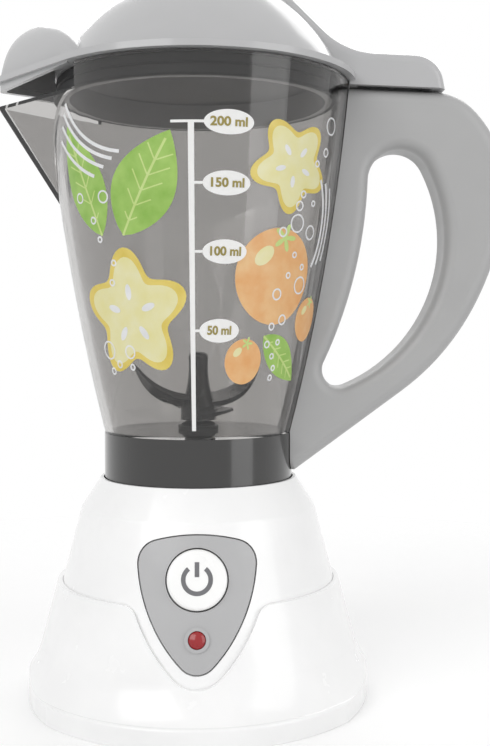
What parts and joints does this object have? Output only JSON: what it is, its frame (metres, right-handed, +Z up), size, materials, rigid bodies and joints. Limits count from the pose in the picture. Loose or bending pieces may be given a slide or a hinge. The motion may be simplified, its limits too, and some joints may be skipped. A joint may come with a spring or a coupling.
{
  "type": "toy blender",
  "caption": "Toy blender: flared battery base with a push button, clear jug with spout, handle and spinning blade, domed lid with a lift-out cap.",
  "frame": {"origin": "on the base's axis at the level of the surface the toy stands on", "axes": "+Z up along the motor, jug and lid axis; -Y is the front with the control panel; +X towards the handle, -X towards the spout"},
  "size_m": [0.1307, 0.0916, 0.1815],
  "materials": {
    "white_shell": "glossy white",
    "white_inner": "satin white",
    "panel_grey": "satin grey",
    "button_white": "glossy",
    "black_plastic": "moulded",
    "board_green": "solder mask",
    "steel": "plated",
    "steel_can": "drawn",
    "spring_steel": "nickel plated",
    "red_led": "tinted resin",
    "red_lens": "tinted, glossy",
    "cell_jacket": "plain jacket",
    "smoky_clear": "smoky clear plastic",
    "collar_dark": "glossy",
    "handle_grey": "satin",
    "lid_grey": "glossy",
    "seal_rubber": "soft",
    "blade_dark": "moulded"
  },
  "bodies": {
    "base": {"base_lower_shell": "white_shell", "base_upper_shell": "white_shell", "base_bottom_cover": "white_inner", "shell_screws": "steel", "control_panel": "panel_grey", "button_switch": "black_plastic", "circuit_board": "board_green", "board_screws": "steel", "status_led": "red_led", "indicator_lens": "red_lens", "motor_can": "steel_can", "motor_end_cap": "black_plastic", "motor_bracket": "white_inner", "motor_screws": "steel", "battery_cells": "cell_jacket", "battery_springs": "spring_steel", "battery_contacts": "spring_steel"},
    "battery_door": {"battery_door": "white_inner", "door_screw": "steel"},
    "button": {"power_button": "button_white"},
    "drive": {"motor_shaft": "steel", "drive_coupling": "black_plastic"},
    "jug": {"jug": "smoky_clear", "jug_collar": "collar_dark", "handle_front": "handle_grey", "handle_back": "handle_grey", "handle_screws": "steel", "blade_bush": "black_plastic", "shaft_seal": "seal_rubber"},
    "blade": {"blade_rotor": "blade_dark", "blade_shaft": "steel", "driven_coupling": "black_plastic"},
    "lid": {"lid": "lid_grey", "lid_seal": "seal_rubber"},
    "cap": {"lid_cap": "lid_grey"}
  },
  "joints": [
    {"name": "jug_lift", "type": "slide", "parent": "base", "child": "jug", "axis": [0, 0, 1], "range_m": [0, 0.03]},
    {"name": "lid_lift", "type": "slide", "parent": "jug", "child": "lid", "axis": [0, 0, 1], "range_m": [0, 0.02]},
    {"name": "cap_lift", "type": "slide", "parent": "lid", "child": "cap", "axis": [0, 0, 1], "range_m": [0, 0.012]},
    {"name": "button_press", "type": "slide", "parent": "base", "child": "button", "axis": [0, 0.9668, -0.2554], "range_m": [0, 0.0015], "stiffness_N_per_m": 300, "springref_m": -0.001},
    {"name": "battery_door_drop", "type": "slide", "parent": "base", "child": "battery_door", "axis": [0, 0, -1], "range_m": [0, 0.008]},
    {"name": "drive_spin", "type": "hinge", "parent": "base", "child": "drive", "pos_m": [0, 0, 0.056], "axis": [0, 0, 1], "continuous": true},
    {"name": "blade_spin", "type": "hinge", "parent": "jug", "child": "blade", "pos_m": [0, 0, 0.066], "axis": [0, 0, 1], "continuous": true}
  ],
  "couplings": [
    {"joint": "blade_spin", "follows": "drive_spin", "ratio": 1}
  ]
}
